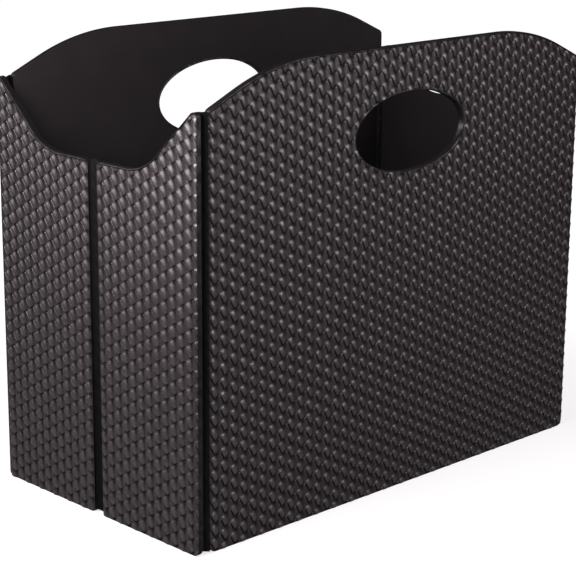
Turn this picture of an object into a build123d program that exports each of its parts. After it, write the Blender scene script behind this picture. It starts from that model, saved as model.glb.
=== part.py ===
"""Folding magazine basket: stiff boards in an embossed leather cover, joined by soft hinges.

Millimetres, +Z up. The origin is the middle of the footprint, on the surface that the basket stands on.
X runs along the front wall, which stands at -Y, and the end walls stand at -X and +X. The front and the
back wall are one rigid panel each. Each end wall is two panels with an upright crease between them, so
that both ends can fold outwards while the base lifts up against the back wall.
"""

import os
from math import cos, radians, sin, tan

from build123d import *

os.makedirs("parts", exist_ok=True)

# Overall size of the open basket
length = 370.0
depth = 200.0
corner_height = 282.0

# Layers of a wall, from outside to inside
cover_thickness = 1.0
board_thickness = 3.4
lining_thickness = 0.6
wall = cover_thickness + board_thickness + lining_thickness
edge_wrap = 0.8
edge_round = 1.8

# Rim of the front and back wall: a flat middle, round shoulders, then a straight slope to the corners
shoulder_run = 91.0
shoulder_radius = 166.0
shoulder_angle = 24.0

# Rim of the end walls: a flat bottom, then an arc and a straight slope up to the corners
dip_run = 67.0
dip_radius = 43.5
dip_angle = 43.0

# Corners of the panels, seen from their face
foot_corner = 5.0
rim_corner = 4.0
tip_corner = 3.0
crease_corner = 3.5

# Oval hand hole
hole_width = 106.0
hole_height = 53.0
hole_below_corner = 33.0
hole_centre_height = corner_height - hole_below_corner
binding_thickness = 1.0
binding_round = 0.4

# Soft hinges
hinge_thickness = 1.0
crease_gap = 8.7
fold_clearance = 1.0
hinge_inset = 2.5

# Base
base_cover = 0.5
base_board = 2.4
base_lining = 0.6
base_thickness = base_cover + base_board + base_lining
base_end_clearance = 0.6
base_back_clearance = 0.6
base_front_clearance = 0.9
tape_thickness = 0.3
tape_width = 12.0

# Planes of the inner faces
inside_x = length / 2 - wall
inside_y = depth / 2 - wall

# A corner groove is as wide as the two walls that turn through it, and one clearance more
corner_groove = 2 * wall + fold_clearance

# The long walls run from the groove at the left to the outer face at the right
long_wall_left = -length / 2 + corner_groove
long_wall_right = length / 2
long_wall_width = long_wall_right - long_wall_left
long_wall_middle = (long_wall_left + long_wall_right) / 2

# The end panels reach from the crease to the outer face at the left, and to the groove at the right
crease_edge = crease_gap / 2
end_reach = {-1: depth / 2, 1: depth / 2 - corner_groove}

# Sides, with the name of each
ends = {-1: "left", 1: "right"}
halves = {-1: "front", 1: "rear"}
long_walls = {-1: "front", 1: "back"}

# The base lifts a little faster than the ends fold, so its front edge stays clear of the front wall
fold_limit = 87.0
base_lift_ratio = 90.0 / fold_limit


def arc_point(level_end, radius, angle, upwards):
    """Point on an arc that leaves a level line at level_end and turns up or down by angle."""
    turn = radians(angle)
    return (level_end[0] + radius * sin(turn), level_end[1] + upwards * radius * (1 - cos(turn)))


def climb(run, radius, angle):
    """Height gained over a run by an arc that starts level and goes on as a straight slope."""
    turn = radians(angle)
    return radius * (1 - cos(turn)) + (run - radius * sin(turn)) * tan(turn)


# Heights of the two rims: the end walls' rounded tips are level with the long walls' corners
peak_height = corner_height + climb(shoulder_run, shoulder_radius, shoulder_angle)
tip_cut = tip_corner * (tan(radians(dip_angle)) + 1 / cos(radians(dip_angle)) - 1)
dip_height = corner_height + tip_cut - climb(dip_run, dip_radius, dip_angle)
dip_flat_end = depth / 2 - dip_run


def slope_height(distance):
    """Height of the end wall's straight slope at a distance from the crease line."""
    return dip_height + climb(distance - dip_flat_end, dip_radius, dip_angle)


def corners_at(outline, x, low, high):
    """The corner points of the outline being drawn that lie on an upright line, between two heights."""
    return [point for point in outline.vertices() if abs(point.X - x) < 0.01 and low < point.Y < high]


def long_wall_outline(edge=0.0):
    """Face of the front or back wall, drawn with x along the wall and y up, moved in by edge."""
    half = long_wall_width / 2
    flat_end = (half - shoulder_run, peak_height)
    with BuildSketch() as outline:
        with BuildLine():
            foot = Line((0, 0), (half, 0))
            side = Line(foot @ 1, (half, corner_height))
            slope = Line(side @ 1, arc_point(flat_end, shoulder_radius, shoulder_angle, -1))
            ThreePointArc(slope @ 1, arc_point(flat_end, shoulder_radius, shoulder_angle / 2, -1), flat_end)
            Line(flat_end, (0, peak_height))
            mirror(about=Plane.YZ)
        make_face()
        for x in (-half, half):
            fillet(corners_at(outline, x, -1, 1), radius=foot_corner)
            fillet(corners_at(outline, x, corner_height - 1, corner_height + 1), radius=rim_corner)
        if edge:
            offset(amount=-edge, mode=Mode.REPLACE)
    return outline.sketch.moved(Location((long_wall_middle, 0, 0)))


def end_panel_outline(reach, edge=0.0):
    """Half of an end wall, drawn with x from the crease line towards the corner and y up."""
    flat_end = (dip_flat_end, dip_height)
    tip_height = slope_height(reach)
    with BuildSketch() as outline:
        with BuildLine():
            foot = Line((crease_edge, 0), (reach, 0))
            side = Line(foot @ 1, (reach, tip_height))
            slope = Line(side @ 1, arc_point(flat_end, dip_radius, dip_angle, 1))
            ThreePointArc(slope @ 1, arc_point(flat_end, dip_radius, dip_angle / 2, 1), flat_end)
            bottom = Line(flat_end, (crease_edge, dip_height))
            Line(bottom @ 1, foot @ 0)
        make_face()
        fillet(corners_at(outline, reach, -1, 1), radius=foot_corner)
        fillet(corners_at(outline, reach, tip_height - 1, tip_height + 1), radius=tip_corner)
        fillet(corners_at(outline, crease_edge, -1, 1), radius=crease_corner)
        fillet(corners_at(outline, crease_edge, dip_height - 1, dip_height + 1), radius=crease_corner)
        if edge:
            offset(amount=-edge, mode=Mode.REPLACE)
    return outline.sketch


def hand_hole(margin=0.0):
    """Oval of the hand hole, widened by margin."""
    with BuildSketch() as oval:
        with Locations((long_wall_middle, hole_centre_height)):
            Ellipse(hole_width / 2 + margin, hole_height / 2 + margin)
    return oval.sketch


def long_wall_plane(side, into=0.0):
    """Plane of a long wall's outer face, moved inwards by into, with x along the wall and y up."""
    return Plane.XZ.offset(-side * (depth / 2 - into))


def end_panel_plane(end, half, into=0.0):
    """Plane of an end panel's outer face, moved inwards by into, with x from the crease to the corner."""
    return Plane(origin=(end * (length / 2 - into), 0, 0), x_dir=(0, half, 0), z_dir=(half, 0, 0))


def layer(outline, plane, inwards, thickness):
    """One flat layer: an outline on a plane, given its thickness towards the inside."""
    with BuildPart() as sheet:
        with BuildSketch(plane):
            add(outline)
        extrude(amount=inwards * thickness)
    return sheet.part


def wrapped_cover(outline, inner_outline, plane, pocket_plane, inwards):
    """Cover of one panel: a face sheet with its edges turned over the board."""
    with BuildPart() as shell:
        with BuildSketch(plane):
            add(outline)
        extrude(amount=inwards * wall)
        outer_face = shell.faces().sort_by(Axis(plane.origin, plane.z_dir * -inwards))[-1]
        fillet(outer_face.edges(), radius=edge_round)
        with BuildSketch(pocket_plane):
            add(inner_outline)
        extrude(amount=inwards * (wall - cover_thickness), mode=Mode.SUBTRACT)
    return shell.part


def write(part, name):
    """Label a finished piece and write it under its name."""
    part.label = name
    export_step(part, f"parts/{name}.step")


# Front and back wall: cover, board, lining and the binding of the hand hole
for side, name in long_walls.items():
    inwards = side
    face = long_wall_plane(side)
    pocket = long_wall_plane(side, cover_thickness)
    lining_plane = long_wall_plane(side, wall - lining_thickness)

    with BuildPart() as cover:
        add(wrapped_cover(long_wall_outline(), long_wall_outline(edge_wrap), face, pocket, inwards))
        with BuildSketch(face):
            add(hand_hole(binding_thickness))
        extrude(amount=inwards * wall, mode=Mode.SUBTRACT)
    write(cover.part, f"{name}_cover")

    with BuildPart() as board:
        add(layer(long_wall_outline(edge_wrap), pocket, inwards, board_thickness))
        with BuildSketch(pocket):
            add(hand_hole(binding_thickness))
        extrude(amount=inwards * board_thickness, mode=Mode.SUBTRACT)
    write(board.part, f"{name}_board")

    with BuildPart() as lining:
        add(layer(long_wall_outline(edge_wrap), lining_plane, inwards, lining_thickness))
        with BuildSketch(lining_plane):
            add(hand_hole(binding_thickness))
        extrude(amount=inwards * lining_thickness, mode=Mode.SUBTRACT)
    write(lining.part, f"{name}_lining")

    with BuildPart() as binding:
        with BuildSketch(face):
            add(hand_hole(binding_thickness))
            add(hand_hole(), mode=Mode.SUBTRACT)
        extrude(amount=inwards * wall)
        fillet(binding.edges(), radius=binding_round)
    write(binding.part, f"{name}_hand_hole_binding")

# End walls: each half has a cover, a board and a lining
for end, end_name in ends.items():
    for half, half_name in halves.items():
        inwards = -end * half
        reach = end_reach[end]
        face = end_panel_plane(end, half)
        pocket = end_panel_plane(end, half, cover_thickness)
        lining_plane = end_panel_plane(end, half, wall - lining_thickness)
        outline = end_panel_outline(reach)
        inner_outline = end_panel_outline(reach, edge_wrap)
        name = f"{end_name}_{half_name}_half"

        with BuildPart() as cover:
            add(wrapped_cover(outline, inner_outline, face, pocket, inwards))
        write(cover.part, f"{name}_cover")

        with BuildPart() as board:
            add(layer(inner_outline, pocket, inwards, board_thickness))
        write(board.part, f"{name}_board")

        with BuildPart() as lining:
            add(layer(inner_outline, lining_plane, inwards, lining_thickness))
        write(lining.part, f"{name}_lining")

# Base: a board between its underside cover and its lining, hinged at the foot of the back wall
base_pivot_y = inside_y - base_back_clearance
base_half_length = inside_x - base_end_clearance
fold_lag = base_thickness * base_lift_ratio / (2 * inside_y * (base_lift_ratio**2 - 1))
base_reach_lost = base_thickness * base_lift_ratio * fold_lag / 2
base_depth = 2 * inside_y - base_back_clearance - base_front_clearance - base_reach_lost
base_middle_y = base_pivot_y - base_depth / 2
base_layers = {
    "base_underside": (0.0, base_cover),
    "base_board": (base_cover, base_board),
    "base_lining": (base_cover + base_board, base_lining),
}
for name, (height, thickness) in base_layers.items():
    with BuildPart() as base_layer:
        with BuildSketch(Plane.XY.offset(height)):
            with Locations((0, base_middle_y)):
                Rectangle(2 * base_half_length, base_depth)
        extrude(amount=thickness)
    write(base_layer.part, name)

# Base hinge: an angle of tape, one leg up the back wall's lining and one on the base
with BuildPart() as base_hinge:
    with BuildSketch(Plane.YZ):
        with Locations((inside_y, base_thickness)):
            Rectangle(tape_thickness, tape_width, align=(Align.MAX, Align.MIN))
            Rectangle(tape_width, tape_thickness, align=(Align.MAX, Align.MIN))
    extrude(amount=base_half_length, both=True)
write(base_hinge.part, "base_hinge")

# Crease hinges: a soft strip between the two halves of each end wall
for end, end_name in ends.items():
    crease_height = dip_height - 2 * hinge_inset
    with BuildPart() as crease:
        with BuildSketch(end_panel_plane(end, 1, wall)):
            with Locations((0, dip_height / 2)):
                Rectangle(crease_gap, crease_height)
        extrude(amount=end * hinge_thickness)
    write(crease.part, f"{end_name}_crease_hinge")

# Corner hinges: at the left they lie in the plane of the long walls, at the right in that of the end wall
strip_width = corner_groove - wall
left_strip_height = corner_height - rim_corner - 2 * hinge_inset
right_strip_height = slope_height(inside_y - strip_width) - tip_cut - tip_corner - 2 * hinge_inset
for side, half_name in halves.items():
    with BuildPart() as left_corner:
        with BuildSketch(long_wall_plane(side, wall)):
            with Locations((-inside_x, hinge_inset)):
                Rectangle(strip_width, left_strip_height, align=(Align.MIN, Align.MIN))
        extrude(amount=-side * hinge_thickness)
    write(left_corner.part, f"left_{half_name}_corner_hinge")

    with BuildPart() as right_corner:
        with BuildSketch(end_panel_plane(1, side, wall)):
            with Locations((inside_y, hinge_inset)):
                Rectangle(strip_width, right_strip_height, align=(Align.MAX, Align.MIN))
        extrude(amount=side * hinge_thickness)
    write(right_corner.part, f"right_{half_name}_corner_hinge")
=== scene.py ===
"""Folding magazine basket: embossed woven covers over stiff boards, joined by soft hinges.

Sizes in the classes are millimetres. A panel is made lying on the bench with its outside up, x along the
panel, y up it and z = 0 on its nominal outer face. It is then stood up at its place, in metres.
"""

import sys

import contextlib
import logging
import math
from collections.abc import Callable, Iterator
from dataclasses import dataclass, field
from enum import Enum

import bmesh
import bpy
import numpy as np
from bpy.types import Material, Node, NodeSocket, NodeTree, Object
from mathutils import Matrix, Vector

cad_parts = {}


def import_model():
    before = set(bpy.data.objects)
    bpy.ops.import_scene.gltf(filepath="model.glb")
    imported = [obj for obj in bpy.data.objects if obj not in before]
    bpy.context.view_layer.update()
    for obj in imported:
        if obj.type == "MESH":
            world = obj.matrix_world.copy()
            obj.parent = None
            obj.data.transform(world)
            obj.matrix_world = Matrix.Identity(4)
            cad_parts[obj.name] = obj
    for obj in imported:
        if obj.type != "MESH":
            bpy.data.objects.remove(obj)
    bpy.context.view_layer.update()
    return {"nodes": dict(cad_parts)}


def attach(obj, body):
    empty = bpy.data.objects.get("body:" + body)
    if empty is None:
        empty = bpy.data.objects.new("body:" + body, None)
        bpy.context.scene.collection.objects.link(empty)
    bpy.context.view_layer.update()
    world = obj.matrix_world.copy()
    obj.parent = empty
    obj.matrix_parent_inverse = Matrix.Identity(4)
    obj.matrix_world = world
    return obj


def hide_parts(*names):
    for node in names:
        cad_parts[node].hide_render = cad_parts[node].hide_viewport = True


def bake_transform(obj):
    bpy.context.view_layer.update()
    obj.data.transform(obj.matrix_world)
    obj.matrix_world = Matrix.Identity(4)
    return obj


log = logging.getLogger("magazine_basket")

MM = 0.001
SNAP = 0.02  # points nearer than this are one point
TIGHTEST = 0.3  # smallest radius of a rounding
CHORD = 2.2  # about how long the straight pieces of a rounding are

WALL = 5.0
COVER = 1.0
LINING = 0.6
WRAP = 0.8
LENGTH = 370.0
DEPTH = 200.0
CORNER_HEIGHT = 282.0
CREASE_GAP = 8.7
GROOVE = 11.0

Colour = tuple[float, float, float]
Profile = tuple[tuple[float, float], ...]


class Facing(Enum):
    """The four outer sides of the basket, each with the turn about +Z that brings a front panel there."""

    FRONT = 0
    BACK = 180
    LEFT = -90
    RIGHT = 90

    @property
    def reach(self) -> float:
        """How far this side's outer face is from the middle."""
        return (DEPTH if self in (Facing.FRONT, Facing.BACK) else LENGTH) / 2


class Rise(Enum):
    """The way in which the rim of an end panel climbs, seen from outside."""

    TO_RIGHT = 1
    TO_LEFT = -1


class Cut(Enum):
    """What a Boolean cut keeps, with Blender's word for it."""

    INSIDE = "INTERSECT"
    OUTSIDE = "DIFFERENCE"


class Edge(Enum):
    """What an edge of a panel is."""

    RIM = "rim"
    CORNER = "corner"
    CREASE = "crease"
    FOOT = "foot"


@dataclass(frozen=True)
class Corner:
    """A corner of an outline, with the radius that rounds it and the edge that starts there."""

    x: float
    y: float
    radius: float
    edge: Edge


class Bench:
    """Modelling steps that several pieces share."""

    @staticmethod
    def clear() -> None:
        """Leave edit mode and deselect everything."""
        if bpy.context.mode != "OBJECT":
            bpy.ops.object.mode_set(mode="OBJECT")
        bpy.ops.object.select_all(action="DESELECT")

    @staticmethod
    def take(piece: Object) -> None:
        """Select one piece alone and make it active.

        Args:
            piece: The piece to work on.
        """
        Bench.clear()
        piece.select_set(True)
        bpy.context.view_layer.objects.active = piece

    @staticmethod
    @contextlib.contextmanager
    def editing(piece: Object) -> Iterator[Object]:
        """Edit one piece, with everything in it selected at the start.

        Args:
            piece: The piece to edit.

        Yields:
            The piece, in edit mode.
        """
        Bench.take(piece)
        bpy.ops.object.mode_set(mode="EDIT")
        bpy.ops.mesh.select_mode(type="VERT")
        bpy.ops.mesh.select_all(action="SELECT")
        yield piece
        bpy.ops.object.mode_set(mode="OBJECT")

    @staticmethod
    def named(name: str) -> Object:
        """Name the active object and its mesh.

        Args:
            name: The new name.

        Returns:
            The active object.
        """
        piece = bpy.context.active_object
        piece.name = name
        piece.data.name = name
        return piece

    @staticmethod
    def pick(piece: Object, kind: str, test: Callable[..., bool]) -> None:
        """Select the vertices or edges of a piece in edit mode that pass a test.

        Args:
            piece: The piece being edited.
            kind: VERT or EDGE.
            test: Takes one element and says whether it is selected.
        """
        bpy.ops.mesh.select_all(action="DESELECT")
        bpy.ops.mesh.select_mode(type=kind)
        mesh = bmesh.from_edit_mesh(piece.data)
        for element in mesh.verts if kind == "VERT" else mesh.edges:
            if test(element):
                element.select_set(True)
        mesh.select_flush_mode()
        bmesh.update_edit_mesh(piece.data)

    @staticmethod
    def shift(x: float = 0.0, y: float = 0.0, z: float = 0.0) -> None:
        """Move what is selected."""
        bpy.ops.transform.translate(value=(x, y, z))

    @staticmethod
    def outward(piece: Object) -> None:
        """Merge doubles and turn all faces of a closed piece outwards.

        Args:
            piece: The piece to mend.
        """
        with Bench.editing(piece):
            bpy.ops.mesh.remove_doubles(threshold=0.002)
            bpy.ops.mesh.normals_make_consistent(inside=False)

    @staticmethod
    def apply(piece: Object, kind: str, **settings: object) -> None:
        """Change a piece with a modifier and apply it.

        Args:
            piece: The piece to change.
            kind: The modifier's type name.
            **settings: Its settings.
        """
        Bench.take(piece)
        step = piece.modifiers.new(kind.lower(), kind)
        for key, value in settings.items():
            setattr(step, key, value)
        bpy.ops.object.modifier_apply(modifier=step.name)

    @staticmethod
    def cut(piece: Object, tool: Object, keep: Cut) -> None:
        """Cut a closed piece with another closed one, which is used up.

        Args:
            piece: The piece to cut.
            tool: The shape that cuts it.
            keep: The part to keep.
        """
        Bench.apply(piece, "BOOLEAN", operation=keep.value, solver="MANIFOLD", object=tool)
        mesh = tool.data
        bpy.data.objects.remove(tool)
        bpy.data.meshes.remove(mesh)

    @staticmethod
    def duplicate(piece: Object, name: str) -> Object:
        """Copy a piece with its own mesh.

        Args:
            piece: The piece to copy.
            name: Name of the copy.

        Returns:
            The copy.
        """
        Bench.take(piece)
        bpy.ops.object.duplicate(linked=False)
        return Bench.named(name)

    @staticmethod
    def join(pieces: list[Object], name: str) -> Object:
        """Join pieces into one.

        Args:
            pieces: The pieces to join.
            name: Name of the joined piece.

        Returns:
            The joined piece.
        """
        Bench.clear()
        for piece in pieces:
            piece.select_set(True)
        bpy.context.view_layer.objects.active = pieces[0]
        bpy.ops.object.join()
        return Bench.named(name)

    @staticmethod
    def repeat(piece: Object, count: int, step: tuple[float, float, float]) -> None:
        """Repeat a piece along a step until there are count of it, as one mesh."""
        offset = {"use_relative_offset": False, "use_constant_offset": True, "constant_offset_displace": step}
        Bench.apply(piece, "ARRAY", count=count, **offset)

    @staticmethod
    def smooth(piece: Object, degrees: float = 35.0) -> None:
        """Shade a piece smooth where its faces meet at less than an angle."""
        Bench.take(piece)
        bpy.ops.object.shade_smooth_by_angle(angle=math.radians(degrees))

    @staticmethod
    def dress(piece: Object, finish: Material) -> None:
        """Give a piece its finish."""
        piece.data.materials.clear()
        piece.data.materials.append(finish)

    @staticmethod
    def stand(piece: Object, facing: Facing) -> None:
        """Stand a panel up from the bench at its side of the basket, and turn its sizes into metres.

        Args:
            piece: The piece, lying with its outside up.
            facing: The side of the basket that it goes to.
        """
        out = Matrix.Translation((0, -facing.reach * MM, 0))
        turn = Matrix.Rotation(math.radians(facing.value), 4, "Z")
        upright = Matrix.Rotation(math.radians(90), 4, "X")
        piece.data.transform(turn @ out @ upright @ Matrix.Scale(MM, 4))


@dataclass(frozen=True)
class Outline:
    """Outline of a panel, anticlockwise from its first corner."""

    corners: tuple[Corner, ...]

    def inset(self, margin: float, rim: float | None = None) -> "Outline":
        """Move the edges inwards.

        Args:
            margin: How far the edges move, negative for outwards.
            rim: How far the rim's edges move, where that differs.

        Returns:
            The smaller outline, with its roundings adjusted.
        """
        count = len(self.corners)
        points = [Vector((c.x, c.y)) for c in self.corners]
        steps = [rim if rim is not None and c.edge is Edge.RIM else margin for c in self.corners]
        moved = []
        for i, corner in enumerate(self.corners):
            before = (points[i] - points[i - 1]).normalized()
            after = (points[(i + 1) % count] - points[i]).normalized()
            turn = before.x * after.y - before.y * after.x
            place = points[i] + (after * steps[i - 1] - before * steps[i]) / turn
            radius = corner.radius - (steps[i - 1] + steps[i]) / 2 * math.copysign(1, turn)
            moved.append(Corner(place.x, place.y, max(radius, TIGHTEST), corner.edge))
        return Outline(tuple(moved))

    def mirrored(self) -> "Outline":
        """Give the outline's mirror image over x = 0, anticlockwise again."""
        pairs = zip(self.corners, (self.corners[-1], *self.corners[:-1]))
        return Outline(tuple(Corner(-c.x, c.y, c.radius, before.edge) for c, before in reversed(list(pairs))))

    def draw(self, name: str) -> Object:
        """Draw the outline with a point that runs along its lines and spins round its corners.

        Args:
            name: Name of the new piece.

        Returns:
            A flat face with the outline's shape.
        """
        Bench.clear()
        count = len(self.corners)
        points = [Vector((c.x, c.y, 0)) for c in self.corners]
        bpy.ops.mesh.primitive_plane_add(size=1)
        piece = Bench.named(name)
        with Bench.editing(piece):
            bpy.ops.mesh.merge(type="CENTER")
            place = Vector((0, 0, 0))
            for i in range(count):
                before = (points[i] - points[i - 1]).normalized()
                after = (points[(i + 1) % count] - points[i]).normalized()
                turn = math.atan2(before.x * after.y - before.y * after.x, before.dot(after))
                side = math.copysign(1, turn)
                radius = self.corners[i].radius
                start = points[i] - before * radius * math.tan(abs(turn) / 2)
                if i == 0:
                    Bench.shift(*(start - place))
                else:
                    bpy.ops.mesh.extrude_vertices_move(TRANSFORM_OT_translate={"value": start - place})
                centre = start + Vector((-before.y, before.x, 0)) * radius * side
                steps = max(3, math.ceil(abs(turn) * max(radius, 8) / CHORD))
                bpy.ops.mesh.spin(steps=steps, angle=-turn, center=centre, axis=(0, 0, 1))
                place = points[i] + after * radius * math.tan(abs(turn) / 2)
            bpy.ops.mesh.select_all(action="SELECT")
            bpy.ops.mesh.remove_doubles(threshold=0.001)
            bpy.ops.mesh.edge_face_add()
        return piece

    def block(self, name: str, top: float, bottom: float) -> Object:
        """Make a straight-sided block on the outline.

        Args:
            name: Name of the new piece.
            top: Height of its top.
            bottom: Height of its bottom.

        Returns:
            The closed block.
        """
        piece = self.draw(name)
        with Bench.editing(piece):
            Bench.shift(z=top)
            bpy.ops.mesh.extrude_region_move(TRANSFORM_OT_translate={"value": (0, 0, bottom - top)})
        Bench.outward(piece)
        return piece

    def distance(self, places: np.ndarray, kind: Edge) -> np.ndarray:
        """Measure how far places are from the straight lines on which edges of one kind lie.

        Args:
            places: One row with x and y for each place.
            kind: The kind of edge.

        Returns:
            The distance of each place to the nearest of these edges.
        """
        nearest = np.full(len(places), 1000.0)
        for corner, following in zip(self.corners, (*self.corners[1:], self.corners[0])):
            if corner.edge is kind:
                start = np.array((corner.x, corner.y))
                run = np.array((following.x, following.y)) - start
                along = np.clip((places - start) @ run / (run @ run), 0, 1)
                away = np.linalg.norm(places - start - along[:, None] * run, axis=1)
                nearest = np.minimum(nearest, away)
        return nearest


@dataclass(frozen=True)
class HandHole:
    """Oval hand hole of a long wall, on the bench."""

    centre_x: float
    centre_y: float = CORNER_HEIGHT - 33.0
    half_width: float = 53.0
    half_height: float = 26.5
    seat: float = 1.0
    segments: int = 120
    plug_depth: float = 20.0

    def plug(self) -> Object:
        """Make the oval block that cuts the hole, wider by the binding's seat.

        Returns:
            The closed block.
        """
        Bench.clear()
        bpy.ops.mesh.primitive_cylinder_add(vertices=self.segments, radius=1, depth=self.plug_depth)
        plug = Bench.named("hole_plug")
        with Bench.editing(plug):
            bpy.ops.transform.resize(value=(self.half_width + self.seat, self.half_height + self.seat, 1))
            Bench.shift(self.centre_x, self.centre_y)
        return plug

    def binding(self, name: str) -> Object:
        """Roll a leather binding round the hole, with a lip on the cover and one on the lining.

        Args:
            name: Name of the new piece.

        Returns:
            The closed ring.
        """
        profile = (
            (0.0, -1.1), (0.08, -0.35), (0.35, 0.0), (0.75, 0.12), (1.1, 0.05), (1.3, -0.2), (1.3, -0.6),
            (0.98, -1.1), (0.98, -4.2), (1.5, -4.9), (1.6, -5.1), (1.1, -5.3), (0.5, -5.2), (0.1, -4.9),
            (0.0, -4.3),
        )
        Bench.clear()
        bpy.ops.mesh.primitive_circle_add(vertices=self.segments, radius=1)
        ring = Bench.named(name)
        with Bench.editing(ring):
            margin, height = profile[0]
            bpy.ops.transform.resize(value=(self.half_width + margin, self.half_height + margin, 1))
            Bench.shift(z=height)
            for new_margin, new_height in profile[1:] + profile[:1]:
                wide = (self.half_width + new_margin) / (self.half_width + margin)
                high = (self.half_height + new_margin) / (self.half_height + margin)
                bpy.ops.mesh.extrude_edges_move(TRANSFORM_OT_translate={"value": (0, 0, new_height - height)})
                bpy.ops.transform.resize(value=(wide, high, 1), center_override=(0, 0, 0))
                margin, height = new_margin, new_height
            bpy.ops.mesh.select_all(action="SELECT")
            Bench.shift(self.centre_x, self.centre_y)
        Bench.outward(ring)
        Bench.smooth(ring, 60)
        return ring


@dataclass(frozen=True)
class StrapRelief:
    """Relief of one strap where it lies on top: its heights over the nominal face, in rows along it."""

    cuts_along: tuple[float, ...]
    cuts_across: tuple[float, ...]
    levels: tuple[tuple[float, ...], ...]

    def emboss(self, name: str, along: Vector, across: Vector, gap_height: float) -> Object:
        """Model the strap from a flat grid, point by point.

        Args:
            name: Name of the new piece.
            along: Run of the strap over one crossing.
            across: Its width, along the strap that it crosses.
            gap_height: Height of the gaps round it.

        Returns:
            An open patch.
        """
        Bench.clear()
        count = len(self.cuts_along) - 1
        bpy.ops.mesh.primitive_grid_add(x_subdivisions=count, y_subdivisions=count, size=1)
        patch = Bench.named(name)
        with Bench.editing(patch):
            Bench.shift(0.5, 0.5, gap_height)
            for i in range(1, count):
                even = i / count
                Bench.pick(patch, "VERT", lambda v: abs(v.co.x - even) < SNAP)
                Bench.shift(x=self.cuts_along[i] - even)
                Bench.pick(patch, "VERT", lambda v: abs(v.co.y - even) < SNAP)
                Bench.shift(y=self.cuts_across[i] - even)
            for i, row in enumerate(self.levels):
                for j, level in enumerate(row):
                    here = Vector((self.cuts_along[i], self.cuts_across[j], gap_height))
                    Bench.pick(patch, "VERT", lambda v: (v.co - here).length < SNAP)
                    Bench.shift(z=level - gap_height)
        slant = Matrix((along, across, (0, 0, 1))).transposed().to_4x4()
        patch.data.transform(slant)
        return patch


LONG_CUTS = (0.0, 0.09, 0.32, 0.62, 0.91, 1.0)
SHORT_CUTS = (0.0, 0.13, 0.37, 0.64, 0.88, 1.0)
GAP = -0.75
STEEP_RELIEF = StrapRelief(
    LONG_CUTS,
    SHORT_CUTS,
    (
        (-0.05, 0.05, 0.00, -0.12, -0.25, GAP),
        (-0.15, 0.36, 0.46, 0.26, -0.14, -0.25),
        (GAP, 0.66, 0.86, 0.58, 0.04, -0.15),
        (GAP, 0.36, 0.50, 0.28, -0.08, -0.15),
        (GAP, -0.05, 0.05, 0.00, -0.15, -0.18),
        (GAP, GAP, GAP, GAP, GAP, -0.05),
    ),
)
SHALLOW_RELIEF = StrapRelief(
    SHORT_CUTS,
    LONG_CUTS,
    (
        (GAP, -0.25, -0.15, -0.15, -0.18, -0.05),
        (GAP, -0.62, -0.35, -0.15, -0.12, 0.05),
        (GAP, -0.60, -0.25, -0.08, -0.05, 0.00),
        (GAP, -0.16, -0.02, -0.02, -0.12, -0.12),
        (GAP, 0.44, 0.20, 0.00, -0.22, -0.25),
        (-0.05, -0.15, GAP, GAP, GAP, GAP),
    ),
)


@dataclass(frozen=True)
class Weave:
    """The slanted basket weave that is embossed in the covers."""

    centre: tuple[float, float]
    half_pitch: float = 4.18
    steep_drop: float = 6.8625
    shallow_climb: float = 2.2875
    gap_height: float = GAP
    full_height: float = 1.6
    slab_depth: float = 6.0

    @property
    def steep(self) -> Vector:
        """Run of a steep strap over one crossing."""
        return Vector((self.half_pitch, -self.steep_drop, 0))

    @property
    def shallow(self) -> Vector:
        """Run of a shallow strap over one crossing."""
        return Vector((self.half_pitch, self.shallow_climb, 0))

    def slab(self, name: str, left: float, right: float, bottom: float, top: float) -> Object:
        """Weave a closed slab that covers a rectangle, for a panel's outline to be cut from.

        Args:
            name: Name of the new piece.
            left: Left edge of the rectangle.
            right: Right edge.
            bottom: Lower edge.
            top: Upper edge.

        Returns:
            The closed slab.
        """
        first = STEEP_RELIEF.emboss("steep_strap", self.steep, self.shallow, self.gap_height)
        second = SHALLOW_RELIEF.emboss("shallow_strap", self.shallow, self.steep, self.gap_height)
        with Bench.editing(second):
            bpy.ops.mesh.flip_normals()
            Bench.shift(*self.shallow)
        pair = Bench.join([first, second], "strap_pair")
        shifted = Bench.duplicate(pair, "strap_pair_low")
        with Bench.editing(shifted):
            Bench.shift(*(self.steep + self.shallow))
        slab = Bench.join([pair, shifted], name)
        across = 4 * self.half_pitch
        down = self.steep_drop + self.shallow_climb
        corner = Vector(self.centre) - (self.steep + self.shallow).to_2d() / 2
        skip_x = math.ceil((corner.x - left + 2 * across) / across)
        skip_y = math.ceil((top + 2 * down - corner.y) / down)
        start_x = corner.x - skip_x * across
        start_y = corner.y + skip_y * down
        with Bench.editing(slab):
            Bench.shift(start_x, start_y)
        Bench.repeat(slab, math.ceil((right - start_x) / across) + 1, (across, 0, 0))
        Bench.repeat(slab, math.ceil((start_y - bottom) / down) + 2, (0, -down, 0))
        with Bench.editing(slab):
            bpy.ops.mesh.remove_doubles(threshold=SNAP)
            Bench.pick(slab, "EDGE", lambda e: len(e.link_faces) == 1)
            bpy.ops.mesh.extrude_edges_move(TRANSFORM_OT_translate={"value": (0, 0, -self.slab_depth)})
            bpy.ops.mesh.edge_face_add()
            bpy.ops.mesh.select_all(action="SELECT")
            bpy.ops.mesh.normals_make_consistent(inside=False)
        return slab


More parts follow.
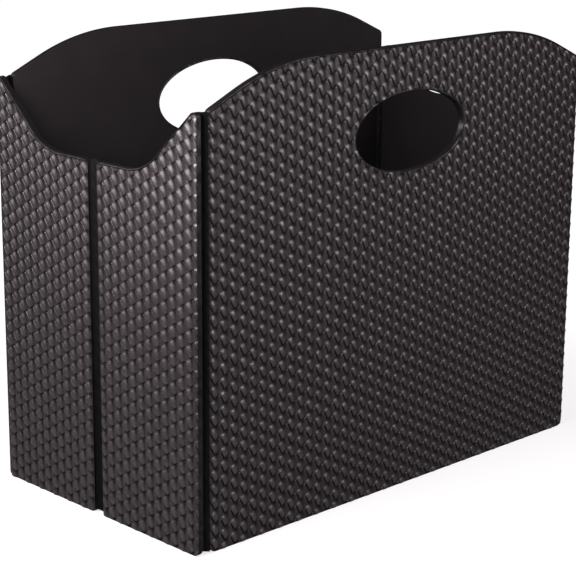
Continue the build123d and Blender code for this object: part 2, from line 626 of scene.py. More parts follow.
@dataclass
class Panel:
    """One wall panel: a woven cover, a board from the frame and a lining, all cut on one outline."""

    name: str
    body: str
    facing: Facing
    outline: Outline
    weave: Weave
    hole: HandHole | None = None
    lip: float = 0.9
    seam: float = 0.6
    cover_depth: float = 4.2
    face_depth: float = 0.9
    flat_depth: float = 0.88
    recess_depth: float = 0.86
    edge_top: float = -0.05
    edge_bevel: float = 0.8
    lining_gap: float = 0.12
    lining_bevel: float = 0.6
    pocket_gap: float = 0.04
    pocket_overlap: float = 0.02
    overshoot: float = 1.0
    rolls: dict[Edge, tuple[float, float]] = field(
        default_factory=lambda: {
            Edge.RIM: (2.2, 0.4),
            Edge.FOOT: (1.6, 1.0),
            Edge.CORNER: (2.4, 0.9),
            Edge.CREASE: (3.5, 1.3),
        }
    )

    def span(self) -> tuple[float, float, float, float]:
        """Give the panel's left, right, bottom and top.

        Returns:
            The four, on the bench.
        """
        across = [corner.x for corner in self.outline.corners]
        up = [corner.y for corner in self.outline.corners]
        return min(across), max(across), min(up), max(up)

    def woven_cover(self, finishes: "Finishes") -> Object:
        """Cut the woven face to the panel's shape and lay it in the turned-over edge of the cover.

        Args:
            finishes: The basket's finishes.

        Returns:
            The cover, on the bench.
        """
        face = self.weave.slab(f"{self.name}_woven_face", *self.span())
        trim = self.outline.inset(0, self.lip + self.seam).block("edge", 3 * self.overshoot, -self.face_depth)
        Bench.cut(face, trim, Cut.INSIDE)
        self.pierce(face)
        self.roll_face(face)
        edge = self.turned_edge()
        Bench.dress(face, finishes.woven)
        Bench.dress(edge, finishes.edge)
        cover = Bench.join([face, edge], f"{self.name}_woven_cover")
        Bench.smooth(cover, 38)
        return cover

    def turned_edge(self) -> Object:
        """Make the smooth leather that is turned over the board's edge, with its lip along the rim.

        Returns:
            A closed tray, on the bench.
        """
        edge = self.outline.block("turned_edge", self.edge_top, -self.cover_depth)
        with Bench.editing(edge):
            Bench.pick(edge, "EDGE", lambda e: all(v.co.z > self.edge_top - 0.01 for v in e.verts))
            bpy.ops.mesh.bevel(offset=self.edge_bevel, segments=4)
        Bench.outward(edge)
        open_rim = self.outline.inset(-2 * self.overshoot, self.lip)
        recess = open_rim.block("recess", self.overshoot, -self.recess_depth)
        Bench.cut(edge, recess, Cut.OUTSIDE)
        pocket = self.outline.inset(WRAP).block("pocket", self.pocket_gap - COVER, -WALL)
        Bench.cut(edge, pocket, Cut.OUTSIDE)
        self.pierce(edge)
        return edge

    def pierce(self, piece: Object) -> None:
        """Cut the hand hole through a piece, if the panel has one."""
        if self.hole:
            Bench.cut(piece, self.hole.plug(), Cut.OUTSIDE)

    def roll_face(self, face: Object) -> None:
        """Round the woven face towards its edges, keeping the straps' relief, and note the relief, the mask
        of the shade painted into the gaps.

        Args:
            face: The woven face, with straight edges.
        """
        mesh = face.data
        places = np.empty(len(mesh.vertices) * 3)
        mesh.vertices.foreach_get("co", places)
        places = places.reshape(-1, 3)
        on_top = places[:, 2] > -self.flat_depth
        relief = np.clip((places[:, 2] - self.weave.gap_height) / self.weave.full_height, 0, 1)
        level = places[:, 2].copy()
        for kind, (width, drop) in self.rolls.items():
            away = self.outline.distance(places[:, :2], kind)
            short = np.clip(1 - away / width, 0, 1)
            level -= drop * (1 - np.sqrt(1 - short**2))
        places[on_top, 2] = np.maximum(level, -self.flat_depth)[on_top]
        mesh.vertices.foreach_set("co", places.ravel())
        # The relief is the mask of the painted shade in the gaps; the cut sides get none, so they take the
        # darkest painted shade.
        note = mesh.attributes.new("relief", "FLOAT", "POINT")
        note.data.foreach_set("value", np.where(on_top, relief, 0.0).astype(np.float32))
        mesh.update()

    def lining(self) -> Object:
        """Make the lining: a cloth tray over the board's inner side, rounded over its edge.

        Returns:
            The lining, on the bench.
        """
        outline = self.outline.inset(self.lining_gap)
        tray = outline.block(f"{self.name}_cloth_lining", -self.cover_depth, -WALL)
        with Bench.editing(tray):
            Bench.pick(tray, "EDGE", lambda e: all(v.co.z < 0.01 - WALL for v in e.verts))
            bpy.ops.mesh.bevel(offset=self.lining_bevel, segments=3)
        Bench.outward(tray)
        board = self.outline.inset(WRAP - self.pocket_overlap)
        pocket = board.block("pocket", self.overshoot, LINING - WALL)
        Bench.cut(tray, pocket, Cut.OUTSIDE)
        self.pierce(tray)
        Bench.smooth(tray, 40)
        return tray

    def build(self, finishes: "Finishes") -> None:
        """Make the panel's pieces and put them on its body.

        Args:
            finishes: The basket's finishes.
        """
        self.place(self.woven_cover(finishes), "woven_leather", f"{self.name}_cover")
        lining = self.lining()
        Bench.dress(lining, finishes.cloth)
        self.place(lining, "twill_lining", f"{self.name}_lining")

    def place(self, piece: Object, slot: str, node: str) -> None:
        """Stand a piece up and let it take the place of its node.

        Args:
            piece: The piece, on the bench.
            slot: Not used; the record's material slot.
            node: The node that it stands for.
        """
        Bench.stand(piece, self.facing)
        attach(piece, self.body)
        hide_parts(node)
        log.info("%s: %d faces on %s", piece.name, len(piece.data.polygons), self.body)


@dataclass
class LongWall:
    """The front or the back wall, with its hand hole."""

    name: str
    facing: Facing
    weave_centre: tuple[float, float]
    shoulder_run: float = 91.0
    shoulder_radius: float = 166.0
    shoulder_angle: float = 24.0
    foot_corner: float = 5.0
    rim_corner: float = 4.0

    @property
    def left(self) -> float:
        """Left edge on the bench, seen from outside."""
        return GROOVE - LENGTH / 2 if self.facing is Facing.FRONT else -LENGTH / 2

    @property
    def right(self) -> float:
        """Right edge on the bench, seen from outside."""
        return self.left + LENGTH - GROOVE

    def outline(self) -> Outline:
        """Give the wall's outline: a flat peak, round shoulders and straight slopes to the corners.

        Returns:
            The outline, on the bench.
        """
        turn = math.radians(self.shoulder_angle)
        inner = self.shoulder_run - self.shoulder_radius * math.tan(turn / 2)
        peak = CORNER_HEIGHT + inner * math.tan(turn)
        return Outline(
            (
                Corner(self.left, 0, self.foot_corner, Edge.FOOT),
                Corner(self.right, 0, self.foot_corner, Edge.CORNER),
                Corner(self.right, CORNER_HEIGHT, self.rim_corner, Edge.RIM),
                Corner(self.right - inner, peak, self.shoulder_radius, Edge.RIM),
                Corner(self.left + inner, peak, self.shoulder_radius, Edge.RIM),
                Corner(self.left, CORNER_HEIGHT, self.rim_corner, Edge.CORNER),
            )
        )

    def build(self, finishes: "Finishes") -> None:
        """Make the wall's cover, lining and hand hole binding.

        Args:
            finishes: The basket's finishes.
        """
        hole = HandHole((self.left + self.right) / 2)
        panel = Panel(
            self.name, f"{self.name}_panel", self.facing, self.outline(), Weave(self.weave_centre), hole
        )
        panel.build(finishes)
        binding = hole.binding(f"{self.name}_rolled_binding")
        Bench.dress(binding, finishes.smooth)
        panel.place(binding, "smooth_leather", f"{self.name}_hand_hole_binding")


@dataclass
class EndHalf:
    """Half of an end wall, from the crease to a corner of the basket."""

    name: str
    facing: Facing
    rise: Rise
    reach: float
    weave_centre: tuple[float, float]
    crease_roll: tuple[float, float] = (3.5, 1.3)
    corner_roll: tuple[float, float] = (4.5, 1.3)
    dip_run: float = 67.0
    dip_radius: float = 43.5
    dip_angle: float = 43.0
    foot_corner: float = 5.0
    tip_corner: float = 3.0
    crease_corner: float = 3.5
    half_pitch: float = 3.9

    @property
    def dip_height(self) -> float:
        """Height of the flat bottom of the dip.

        Returns:
            The height over the surface that the basket stands on.
        """
        turn = math.radians(self.dip_angle)
        cut = self.tip_corner * (math.tan(turn) + 1 / math.cos(turn) - 1)
        flat = self.dip_radius * math.tan(turn / 2)
        return CORNER_HEIGHT + cut - (self.dip_run - flat) * math.tan(turn)

    def outline(self) -> Outline:
        """Give the half's outline: a flat dip, then an arc and a straight slope up to the corner.

        Returns:
            The outline, on the bench.
        """
        turn = math.radians(self.dip_angle)
        knee = DEPTH / 2 - self.dip_run + self.dip_radius * math.tan(turn / 2)
        tip = self.dip_height + (self.reach - knee) * math.tan(turn)
        outline = Outline(
            (
                Corner(CREASE_GAP / 2, 0, self.crease_corner, Edge.FOOT),
                Corner(self.reach, 0, self.foot_corner, Edge.CORNER),
                Corner(self.reach, tip, self.tip_corner, Edge.RIM),
                Corner(knee, self.dip_height, self.dip_radius, Edge.RIM),
                Corner(CREASE_GAP / 2, self.dip_height, self.crease_corner, Edge.CREASE),
            )
        )
        return outline if self.rise is Rise.TO_RIGHT else outline.mirrored()

    def build(self, finishes: "Finishes") -> None:
        """Make the half's cover and lining.

        Args:
            finishes: The basket's finishes.
        """
        weave = Weave(self.weave_centre, self.half_pitch)
        panel = Panel(self.name, self.name, self.facing, self.outline(), weave)
        panel.rolls[Edge.CREASE] = self.crease_roll
        panel.rolls[Edge.CORNER] = self.corner_roll
        panel.build(finishes)


@dataclass(frozen=True)
class HingeStrip:
    """A strip of embossed leather pressed into a groove, with its profile across the groove."""

    name: str
    node: str
    facing: Facing
    profile: Profile
    bottom: float
    top: float
    thickness: float = 0.7
    ridge_pitch: float = 9.15
    ridge_height: float = 0.28
    ridge_lean: float = -1.64
    rows_per_ridge: int = 4
    aside: float = 100.0

    def strip(self) -> Object:
        """Model the strip: a grid that leans along the embossed straps, one row of each ridge raised.

        Returns:
            The closed strip, on the bench.
        """
        Bench.clear()
        columns = len(self.profile) - 1
        left, right = self.profile[0][0], self.profile[-1][0]
        spare = abs(self.ridge_lean) * (right - left) + self.ridge_pitch
        ridges = math.ceil((self.top - self.bottom + 2 * spare) / self.ridge_pitch)
        rows = ridges * self.rows_per_ridge
        height = ridges * self.ridge_pitch
        row = height / rows
        low = self.bottom - spare
        bpy.ops.mesh.primitive_grid_add(x_subdivisions=columns, y_subdivisions=rows, size=1)
        strip = Bench.named(self.name)
        with Bench.editing(strip):
            Bench.shift(0.5, 0.5)
            bpy.ops.transform.resize(value=(1, height, 1), center_override=(0, 0, 0))
            Bench.shift(self.aside, low)
            Bench.pick(strip, "VERT", lambda v: round((v.co.y - low) / row) % self.rows_per_ridge == 0)
            Bench.shift(z=self.ridge_height)
            for i, (x, z) in enumerate(self.profile):
                even = self.aside + i / columns
                Bench.pick(strip, "VERT", lambda v: abs(v.co.x - even) < SNAP)
                Bench.shift(x - even, self.ridge_lean * (x - left), z)
            for end, outside in ((self.bottom, True), (self.top, False)):
                bpy.ops.mesh.select_all(action="SELECT")
                bpy.ops.mesh.bisect(
                    plane_co=(0, end, 0), plane_no=(0, 1, 0), clear_inner=outside, clear_outer=not outside
                )
        Bench.apply(strip, "SOLIDIFY", thickness=self.thickness, offset=-1)
        Bench.outward(strip)
        Bench.smooth(strip, 50)
        return strip

    def build(self, leather: Material) -> Object:
        """Make the strip at its place.

        Args:
            leather: Its finish.

        Returns:
            The strip, not yet on a body.
        """
        strip = self.strip()
        Bench.stand(strip, self.facing)
        Bench.dress(strip, leather)
        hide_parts(self.node)
        return strip

    def bend(self, leather: Material, first: str, second: str, start: float, end: float) -> None:
        """Make the strip at its place, between one body and the next.

        Args:
            leather: Its finish.
            first: The body before it, named only in the log.
            second: The body after it, named only in the log.
            start: Not used; the bench x at which the strip would start to bend.
            end: Not used; the bench x at which the strip would be bent fully.
        """
        strip = self.build(leather)
        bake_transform(strip)
        log.info("%s bends between %s and %s", self.name, first, second)


@dataclass(frozen=True)
class BaseTape:
    """The cloth tape that hinges the base along the foot of the back wall."""

    wall_face: float = DEPTH / 2 - WALL
    floor_height: float = 3.5
    width: float = 12.0
    thickness: float = 0.3
    length: float = LENGTH - 2 * GROOVE

    def build(self, cloth: Material) -> None:
        """Lay the tape in the angle between the base and the wall.

        Args:
            cloth: Its finish.
        """
        low = self.floor_height + self.thickness
        profile = (
            (-self.width, low - 0.1), (-self.width + 0.5, low), (-6.0, low), (-1.1, low), (-0.6, low + 0.1),
            (-0.38, low + 0.4), (-self.thickness, low + 0.9), (-self.thickness, low + 5.0),
            (-self.thickness, self.floor_height + self.width - 0.5), (-0.2, self.floor_height + self.width),
        )
        strip = HingeStrip(
            "base_hinge_tape",
            "base_hinge",
            Facing.BACK,
            profile,
            -self.length / 2,
            self.length / 2,
            self.thickness,
            ridge_pitch=4.0,
            ridge_height=0.0,
            ridge_lean=0.0,
        ).strip()
        across = Matrix(((0, -1, 0, 0), (1, 0, 0, self.wall_face), (0, 0, 1, 0), (0, 0, 0, 1)))
        strip.data.transform(Matrix.Scale(MM, 4) @ across)
        Bench.dress(strip, cloth)
        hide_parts("base_hinge")
        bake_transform(strip)
        log.info("base_hinge_tape: %d faces", len(strip.data.polygons))


class NodeMaker:
    """Adds and links shader nodes in one tree."""

    def __init__(self, tree: NodeTree) -> None:
        """Keep the tree, with a count of the nodes added."""
        self.tree = tree
        self.count = 0

    def feed(self, node: Node, inputs: dict) -> None:
        """Give a node its inputs.

        Args:
            node: The node.
            inputs: Values or other nodes' outputs, by the input's name or number.
        """
        for key, value in inputs.items():
            if isinstance(value, NodeSocket):
                self.tree.links.new(value, node.inputs[key])
            else:
                node.inputs[key].default_value = value

    def shade(self, inputs: dict) -> None:
        """Give the tree's own shader its inputs."""
        self.feed(self.tree.nodes["Principled BSDF"], inputs)

    def add(self, kind: str, inputs: dict | None = None, **settings: object) -> Node:
        """Add a node.

        Args:
            kind: Its type name.
            inputs: Values or other nodes' outputs for its inputs, by name or number.
            **settings: Its properties.

        Returns:
            The node.
        """
        node = self.tree.nodes.new(kind)
        node.location = (180 * self.count, 0)
        self.count += 1
        for key, value in settings.items():
            setattr(node, key, value)
        self.feed(node, inputs or {})
        return node

    def math(self, operation: str, *values: float | NodeSocket) -> NodeSocket:
        """Add a Math node and give its result."""
        return self.add("ShaderNodeMath", dict(enumerate(values)), operation=operation).outputs[0]

    def noise(self, place: NodeSocket, scale: float | NodeSocket, detail: float) -> NodeSocket:
        """Add a noise texture and give its value."""
        return self.add("ShaderNodeTexNoise", {"Vector": place, "Scale": scale, "Detail": detail}).outputs[0]

    def bump(self, height: NodeSocket, distance: float, strength: float = 1.0) -> NodeSocket:
        """Add a Bump node and give its normal."""
        relief = {"Height": height, "Distance": distance, "Strength": strength}
        return self.add("ShaderNodeBump", relief).outputs[0]

    def span(
        self, value: NodeSocket, low: float, high: float, to_low: float = 0, to_high: float = 1
    ) -> NodeSocket:
        """Map a value from one range to another and give the result."""
        ranges = {"From Min": low, "From Max": high, "To Min": to_low, "To Max": to_high}
        return self.add("ShaderNodeMapRange", {"Value": value, **ranges}).outputs[0]

    def blend(
        self, factor: NodeSocket, first: Colour | NodeSocket, second: Colour | NodeSocket
    ) -> NodeSocket:
        """Mix two colours.

        Args:
            factor: How much of the second.
            first: The first colour or its socket.
            second: The second colour or its socket.

        Returns:
            The mixed colour's socket.
        """
        node = self.add("ShaderNodeMix", {"Factor": factor}, data_type="RGBA")
        for number, value in ((6, first), (7, second)):
            self.feed(node, {number: value if isinstance(value, NodeSocket) else (*value, 1)})
        return node.outputs[2]


class SharedEffects:
    """Shader effects that more than one finish uses, each a node group that is made once."""

    def __init__(self) -> None:
        """Make the groups."""
        self.grain = self.leather_grain()
        self.twill = self.twill_weave()
        self.dust = self.settled_dust()

    @staticmethod
    def group(
        name: str, amount: str, default: float, outputs: tuple[str, ...]
    ) -> tuple[NodeMaker, Node, Node]:
        """Start a node group that is given a place and one amount.

        Args:
            name: Its name.
            amount: Name of the amount.
            default: The amount's default.
            outputs: Names of its number outputs.

        Returns:
            A maker for it, and its input and output nodes.
        """
        tree = bpy.data.node_groups.new(name, "ShaderNodeTree")
        tree.interface.new_socket("Vector", in_out="INPUT", socket_type="NodeSocketVector")
        dial = tree.interface.new_socket(amount, in_out="INPUT", socket_type="NodeSocketFloat")
        dial.default_value = default
        for label in outputs:
            tree.interface.new_socket(label, in_out="OUTPUT", socket_type="NodeSocketFloat")
        make = NodeMaker(tree)
        return make, make.add("NodeGroupInput"), make.add("NodeGroupOutput")

    def leather_grain(self) -> NodeTree:
        """Make the grain: pores and fine wrinkles as height, with a soft mottling as tone.

        Returns:
            The node group.
        """
        make, given, result = self.group("leather_grain", "Pores per metre", 1400, ("Height", "Tone"))
        place, scale = given.outputs["Vector"], given.outputs["Pores per metre"]
        cells = {"Vector": place, "Scale": scale}
        pores = make.add("ShaderNodeTexVoronoi", cells, feature="DISTANCE_TO_EDGE")
        wrinkles = make.noise(place, make.math("MULTIPLY", scale, 0.6), 3.0)
        mottling = make.noise(place, make.math("MULTIPLY", scale, 0.12), 2.0)
        pits = make.span(pores.outputs[0], 0, 0.25)
        height = make.math("ADD", make.math("MULTIPLY", pits, 0.5), wrinkles)
        make.feed(result, {"Height": height, "Tone": mottling})
        return make.tree

    def twill_weave(self) -> NodeTree:
        """Make a fine diagonal twill, on walls and on the base, as height and tone.

        Returns:
            The node group.
        """
        make, given, result = self.group("twill_weave", "Ribs per metre", 850, ("Height", "Tone"))
        place = given.outputs["Vector"]
        x, y, z = make.add("ShaderNodeSeparateXYZ", {0: place}).outputs
        scale = make.math("MULTIPLY", given.outputs["Ribs per metre"], 2 * math.pi)
        flat = make.math("ADD", x, y)
        up = make.math("ADD", z, make.math("MULTIPLY", y, 0.35))
        rib = make.math("SINE", make.math("MULTIPLY", make.math("ADD", flat, up), scale))
        thread = make.math("SINE", make.math("MULTIPLY", make.math("SUBTRACT", flat, up), scale))
        height = make.math("ADD", rib, make.math("MULTIPLY", thread, 0.35))
        make.feed(result, {"Height": make.span(height, -1.35, 1.35), "Tone": make.noise(place, 60.0, 4.0)})
        return make.tree

    def settled_dust(self) -> NodeTree:
        """Make a mask of the little dust that settles on faces that look up.

        Returns:
            The node group.
        """
        make, given, result = self.group("settled_dust", "Amount", 0.2, ("Mask",))
        normal = make.add("ShaderNodeNewGeometry").outputs["Normal"]
        up = make.add("ShaderNodeSeparateXYZ", {0: normal}).outputs[2]
        specks = make.noise(given.outputs["Vector"], 900.0, 3.0)
        lying = make.math("MULTIPLY", make.span(up, 0.3, 1.0), make.span(specks, 0.4, 0.7))
        make.feed(result, {"Mask": make.math("MULTIPLY", lying, given.outputs["Amount"])})
        return make.tree


@dataclass(frozen=True)
class Finish:
    """A finish whose patterns lie on the piece's own coordinates."""

    name: str

    def start(self) -> tuple[Material, NodeMaker, NodeSocket]:
        """Start the material.

        Returns:
            The material, its node maker and the place on the piece.
        """
        finish = bpy.data.materials.new(self.name)
        finish.use_nodes = True
        make = NodeMaker(finish.node_tree)
        return finish, make, make.add("ShaderNodeTexCoord").outputs["Object"]


@dataclass(frozen=True)
class LeatherFinish(Finish):
    """Black faux leather with a soft sheen; where it follows the relief, shade is painted into the gaps of
    its embossing.
    """

    low_colour: Colour
    high_colour: Colour
    gloss: float = 1.0
    gloss_roughness: float = 0.3
    gloss_ior: float = 1.7
    roughness: float = 0.7
    specular: float = 0.12
    grain_depth: float = 0.00008
    pores_per_metre: float = 1400.0
    mottling: tuple[float, float] = (0.3, 0.7)
    dust: float = 0.02
    dust_colour: Colour = (0.22, 0.21, 0.2)
    # The two below paint shade: the relief note, read over lit_relief, darkens the colour into the
    # embossing's gaps and on its cut sides.
    paints_gap_shade: bool = False
    lit_relief: tuple[float, float] = (0.2, 0.6)
    dullest_strap: float = 0.68

    def material(self, shared: SharedEffects) -> Material:
        """Make the material.

        Args:
            shared: The shared effects.

        Returns:
            The material.
        """
        finish, make, place = self.start()
        pores = {"Vector": place, "Pores per metre": self.pores_per_metre}
        grain = make.add("ShaderNodeGroup", pores, node_tree=shared.grain)
        dust = make.add("ShaderNodeGroup", {"Vector": place, "Amount": self.dust}, node_tree=shared.dust)
        level = make.span(grain.outputs["Tone"], *self.mottling)
        # Painted shade in the gaps: the relief note pulls the colour down to the low colour, together with
        # the random mottling.
        if self.paints_gap_shade:
            relief = make.add("ShaderNodeAttribute", attribute_name="relief").outputs["Fac"]
            dulled = make.span(level, 0, 1, self.dullest_strap, 1)
            level = make.math("MULTIPLY", make.span(relief, *self.lit_relief), dulled)
        colour = make.blend(level, self.low_colour, self.high_colour)
        normal = make.bump(grain.outputs["Height"], self.grain_depth)
        make.shade(
            {
                "Base Color": make.blend(dust.outputs["Mask"], colour, self.dust_colour),
                "Coat Weight": make.math("MULTIPLY", level, self.gloss),
                "Normal": normal,
                "Coat Normal": normal,
                "Roughness": self.roughness,
                "Coat Roughness": self.gloss_roughness,
                "Coat IOR": self.gloss_ior,
                "Specular IOR Level": self.specular,
            }
        )
        return finish


@dataclass(frozen=True)
class TwillFinish(Finish):
    """Black lining cloth with a fine diagonal twill."""

    groove_colour: Colour = (0.004, 0.0036, 0.004)
    rib_colour: Colour = (0.024, 0.021, 0.0225)
    ribs_per_metre: float = 850.0
    rib_depth: float = 0.00012
    roughness: float = 0.8
    specular: float = 0.1

    def material(self, shared: SharedEffects) -> Material:
        """Make the material.

        Args:
            shared: The shared effects.

        Returns:
            The material.
        """
        finish, make, place = self.start()
        ribs = {"Vector": place, "Ribs per metre": self.ribs_per_metre}
        height, tone = make.add("ShaderNodeGroup", ribs, node_tree=shared.twill).outputs
        level = make.math("MULTIPLY", height, make.span(tone, 0.3, 0.7, 0.75, 1))
        make.shade(
            {
                "Base Color": make.blend(level, self.groove_colour, self.rib_colour),
                "Normal": make.bump(height, self.rib_depth, 0.8),
                "Roughness": self.roughness,
                "Specular IOR Level": self.specular,
            }
        )
        return finish


@dataclass(frozen=True)
class FibreboardFinish(Finish):
    """Raw grey-brown pressed board."""

    dark: Colour = (0.25, 0.2, 0.15)
    light: Colour = (0.38, 0.32, 0.25)
    chips_per_metre: float = 500.0
    chip_depth: float = 0.0001

    def material(self) -> Material:
        """Make the material.

        Returns:
            The material.
        """
        finish, make, place = self.start()
        chipping = {"Vector": place, "Scale": self.chips_per_metre, "Detail": 6.0, "Roughness": 0.7}
        level = make.span(make.add("ShaderNodeTexNoise", chipping).outputs[0], 0.35, 0.65)
        make.shade(
            {
                "Base Color": make.blend(level, self.dark, self.light),
                "Roughness": make.span(level, 0, 1, 0.9, 0.75),
                "Normal": make.bump(level, self.chip_depth, 0.6),
            }
        )
        return finish


def direction(azimuth: float, elevation: float) -> Vector:
    """Give the direction from the basket to a camera or a light.

    Args:
        azimuth: Degrees about +Z, 0 before the front wall and 90 beside the right end wall.
        elevation: Degrees above level.

    Returns:
        The direction, of length 1.
    """
    turn = math.radians(azimuth)
    lift = math.radians(elevation)
    return Vector((math.sin(turn) * math.cos(lift), -math.cos(turn) * math.cos(lift), math.sin(lift)))


@dataclass(frozen=True)
class PhotoCamera:
    """The camera, at the photograph's viewing angle."""

    azimuth: float = -44.247
    elevation: float = 15.087
    roll: float = 0.4234
    distance: float = 1.29833
    target: tuple[float, float, float] = (-0.010358, 0.0, 0.124043)
    focal_pixels: float = 1822.72
    image_pixels: float = 576.0
    sensor: float = 36.0
    near_clip: float = 0.05

    def place(self) -> None:
        """Add the camera and make it the scene's."""
        tilt = math.radians(self.roll)
        back = direction(self.azimuth, self.elevation)
        right = Vector((0, 0, 1)).cross(back).normalized()
        up = back.cross(right)
        leaning_right = math.cos(tilt) * right + math.sin(tilt) * up
        leaning_up = back.cross(leaning_right)
        lens = bpy.data.cameras.new("photo_camera")
        lens.sensor_width = self.sensor
        lens.lens = self.focal_pixels * self.sensor / self.image_pixels
        lens.clip_start = self.near_clip
        camera = bpy.data.objects.new("photo_camera", lens)
        bpy.context.scene.collection.objects.link(camera)
        turned = Matrix((leaning_right, leaning_up, back)).transposed().to_4x4()
        camera.matrix_world = Matrix.Translation(Vector(self.target) + back * self.distance) @ turned
        bpy.context.scene.camera = camera


@dataclass(frozen=True)
class SoftLight:
    """A square softbox."""

    name: str
    azimuth: float
    elevation: float
    distance: float
    size: float
    power: float
    colour: Colour

    def place(self, aim: Vector) -> None:
        """Add the light.

        Args:
            aim: The point that it faces.
        """
        lamp = bpy.data.lights.new(self.name, "AREA")
        lamp.shape = "SQUARE"
        lamp.size = self.size
        lamp.energy = self.power
        lamp.color = self.colour
        back = direction(self.azimuth, self.elevation)
        turned = back.to_track_quat("Z", "Y").to_matrix().to_4x4()
        light = bpy.data.objects.new(self.name, lamp)
        bpy.context.scene.collection.objects.link(light)
        light.matrix_world = Matrix.Translation(aim + back * self.distance) @ turned


@dataclass(frozen=True)
class Studio:
    """A pale floor, a white surround and soft light."""

    floor_size: float = 12.0
    floor_colour: Colour = (0.35, 0.35, 0.35)
    floor_lift: tuple[float, float] = (0.7, 1.0)
    lift_run: float = 0.5
    ambient: float = 0.05
    aim: tuple[float, float, float] = (0.0, 0.0, 0.12)
    lights: tuple[SoftLight, ...] = (
        SoftLight("end_softbox", -125.0, 32.0, 0.8, 0.5, 4.6, (1.0, 0.94, 0.95)),
        SoftLight("near_softbox", -76.0, 30.0, 0.45, 0.2, 1.9, (1.0, 0.93, 0.95)),
        SoftLight("low_softbox", -105.0, 18.0, 0.75, 0.4, 0.9, (1.0, 0.93, 0.95)),
        SoftLight("front_softbox", 20.0, 20.0, 1.0, 0.5, 6.45, (1.0, 0.92, 0.96)),
        SoftLight("top_softbox", 8.0, 38.0, 0.8, 0.5, 1.6, (1.0, 0.93, 0.97)),
    )

    def build(self) -> None:
        """Add the floor, the surround and the lights."""
        self.floor()
        self.surround()
        for light in self.lights:
            light.place(Vector(self.aim))
        bpy.context.scene.view_settings.view_transform = "Standard"

    def floor(self) -> None:
        """Lay the floor, which turns whiter to the camera away from the basket and keeps its shadow."""
        Bench.clear()
        bpy.ops.mesh.primitive_plane_add(size=self.floor_size)
        floor = Bench.named("floor")
        paper, make, place = Finish("floor_paper").start()
        seen = make.add("ShaderNodeLightPath").outputs["Is Camera Ray"]
        x, y, _ = make.add("ShaderNodeSeparateXYZ", {0: place}).outputs
        squares = []
        for way, size in ((x, LENGTH), (y, DEPTH)):
            past = make.math("SUBTRACT", make.math("ABSOLUTE", way), size / 2 * MM)
            squares.append(make.math("POWER", make.math("MAXIMUM", past, 0.0), 2.0))
        away = make.math("SQRT", make.math("ADD", *squares))
        lift = make.span(away, 0.0, self.lift_run, *self.floor_lift)
        make.shade(
            {
                "Base Color": (*self.floor_colour, 1),
                "Roughness": 0.9,
                "Specular IOR Level": 0.1,
                "Emission Color": (1, 1, 1, 1),
                "Emission Strength": make.math("MULTIPLY", seen, lift),
            }
        )
        floor.data.materials.append(paper)

    def surround(self) -> None:
        """Make the world white to the camera and dim as a light."""
        world = bpy.data.worlds.new("white_surround")
        world.use_nodes = True
        bpy.context.scene.world = world
        make = NodeMaker(world.node_tree)
        path = make.add("ShaderNodeLightPath")
        shown = make.math("MAXIMUM", path.outputs["Is Camera Ray"], path.outputs["Is Transmission Ray"])
        strength = make.span(shown, 0, 1, self.ambient, 1.0)
        make.feed(world.node_tree.nodes["Background"], {"Color": (1, 1, 1, 1), "Strength": strength})


@dataclass(frozen=True)
class Finishes:
    """The basket's finishes."""

    woven: Material
    edge: Material
    smooth: Material
    hinge: Material
    base: Material
    cloth: Material
    tape: Material
    board: Material

    @staticmethod
    def mix() -> "Finishes":
        """Make all finishes, with the effects that they share.

        Returns:
            The finishes.
        """
        shared = SharedEffects()
        black = (0.002, 0.0018, 0.002)
        recipes = {
            # The woven leather's low colour is painted shade in the embossing's gaps; its high colour is the
            # leather's own.
            "woven": LeatherFinish(
                "woven_leather", black, (0.0152, 0.0092, 0.0116), dust=0.12, paints_gap_shade=True
            ),
            "edge": LeatherFinish("edge_leather", black, (0.003, 0.0026, 0.0028), 0.3, 0.13),
            "smooth": LeatherFinish("smooth_leather", black, (0.006, 0.0045, 0.0045), 0.6, 0.25),
            # The hinge leather is black leather painted darker still: painted shade in the corner and crease
            # grooves.
            "hinge": LeatherFinish(
                "hinge_leather", (0.0003, 0.0003, 0.0003), (0.0007, 0.0006, 0.0007), 0.05, 0.2
            ),
            "base": LeatherFinish(
                "base_leather", (0.006, 0.0055, 0.006), (0.012, 0.011, 0.0115), 0.3, 0.45, pores_per_metre=900
            ),
            "cloth": TwillFinish("twill_lining"),
            "tape": TwillFinish("hinge_tape", ribs_per_metre=600.0),
        }
        mixed = {key: finish.material(shared) for key, finish in recipes.items()}
        return Finishes(board=FibreboardFinish("fibreboard").material(), **mixed)


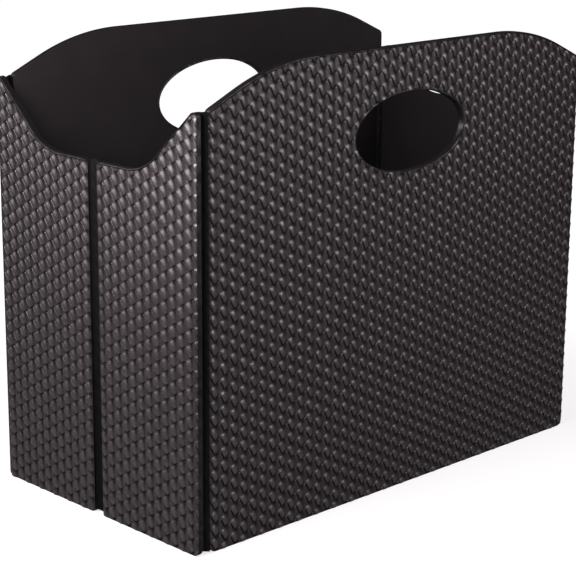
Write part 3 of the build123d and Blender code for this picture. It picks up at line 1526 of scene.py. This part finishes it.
@dataclass
class Basket:
    """The whole basket, built sub-assembly by sub-assembly."""

    nodes: dict[str, Object]
    finishes: Finishes
    tip: float = CORNER_HEIGHT - 0.4
    dip: float = 239.6
    short_tip: float = 269.5
    foot: float = 1.5

    def build(self) -> None:
        """Build the walls, the hinges and the base, and report each."""
        self.walls()
        self.corner_hinges()
        self.crease_hinges()
        self.base()

    def walls(self) -> None:
        """Build the two long walls and the four halves of the end walls."""
        LongWall("front", Facing.FRONT, (-137.0, 243.4)).build(self.finishes)
        LongWall("back", Facing.BACK, (-148.0, 243.4)).build(self.finishes)
        short = DEPTH / 2 - GROOVE
        front_roll = (9.0, 1.3)
        for half in (
            EndHalf("left_front_half", Facing.LEFT, Rise.TO_RIGHT, DEPTH / 2, (7.5, 229.9), front_roll),
            EndHalf("left_rear_half", Facing.LEFT, Rise.TO_LEFT, DEPTH / 2, (-15.0, 228.6)),
            EndHalf("right_rear_half", Facing.RIGHT, Rise.TO_RIGHT, short, (7.5, 229.9)),
            EndHalf("right_front_half", Facing.RIGHT, Rise.TO_LEFT, short, (-15.0, 228.6), front_roll),
        ):
            half.build(self.finishes)

    def corner_hinges(self) -> None:
        """Build the strips in the four corner grooves."""
        # The hinge finish carries the shade painted into the grooves.
        leather = self.finishes.hinge
        web = ((0.0, -4.6), (0.9, -4.4), (2.1, -3.6), (3.6, -2.0), (4.8, -1.0), (5.85, -0.7))
        end, side = LENGTH / 2 - WALL, DEPTH / 2 - WALL
        left = tuple((x - end, z) for x, z in web)
        right = tuple((end - x, z) for x, z in reversed(web))
        rear = tuple((side - x, z) for x, z in reversed(web))
        front = tuple((x - side, z) for x, z in web)
        for name, facing, profile, top, *bend in (
            ("left_front", Facing.FRONT, left, self.tip, "left_front_half", "front_panel", -177.5, -174.6),
            ("left_rear", Facing.BACK, right, self.tip, "back_panel", "left_rear_half", 178.0, 181.5),
            ("right_rear", Facing.RIGHT, rear, self.short_tip, "right_rear_half", "back_panel", 89.6, 92.5),
        ):
            strip = HingeStrip(f"{name}_corner_web", f"{name}_corner_hinge", facing, profile, self.foot, top)
            strip.bend(leather, *bend)
        open_web = HingeStrip(
            "right_front_corner_web",
            "right_front_corner_hinge",
            Facing.RIGHT,
            front,
            self.foot,
            self.short_tip,
        )
        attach(open_web.build(leather), "front_panel")
        log.info("right_front_corner_web rides on front_panel")

    def crease_hinges(self) -> None:
        """Build the strips in the creases of the end walls."""
        half_web = ((-4.6, -1.6), (-4.1, -2.6), (-3.2, -3.7), (-1.5, -4.2))
        web = (*half_web, (0.0, -4.35), *((-x, z) for x, z in reversed(half_web)))
        for side, facing, first, second in (
            ("left", Facing.LEFT, "left_rear_half", "left_front_half"),
            ("right", Facing.RIGHT, "right_front_half", "right_rear_half"),
        ):
            strip = HingeStrip(f"{side}_crease_web", f"{side}_crease_hinge", facing, web, self.foot, self.dip)
            strip.bend(self.finishes.hinge, first, second, -3.5, 3.5)

    def base(self) -> None:
        """Build the base's hinge tape, and dress the base and all boards, which the frame brings."""
        BaseTape().build(self.finishes.tape)
        Bench.dress(self.nodes["base_underside"], self.finishes.base)
        Bench.dress(self.nodes["base_lining"], self.finishes.cloth)
        for name in self.nodes:
            if name.endswith("_board"):
                Bench.dress(self.nodes[name], self.finishes.board)


def main() -> None:
    """Build the basket in its studio and report each piece."""
    logging.basicConfig(level=logging.INFO, format="%(message)s", stream=sys.stdout)
    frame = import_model()
    PhotoCamera().place()
    Studio().build()
    Basket(frame["nodes"], Finishes.mix()).build()
    Bench.clear()


if __name__ == "__main__":
    main()
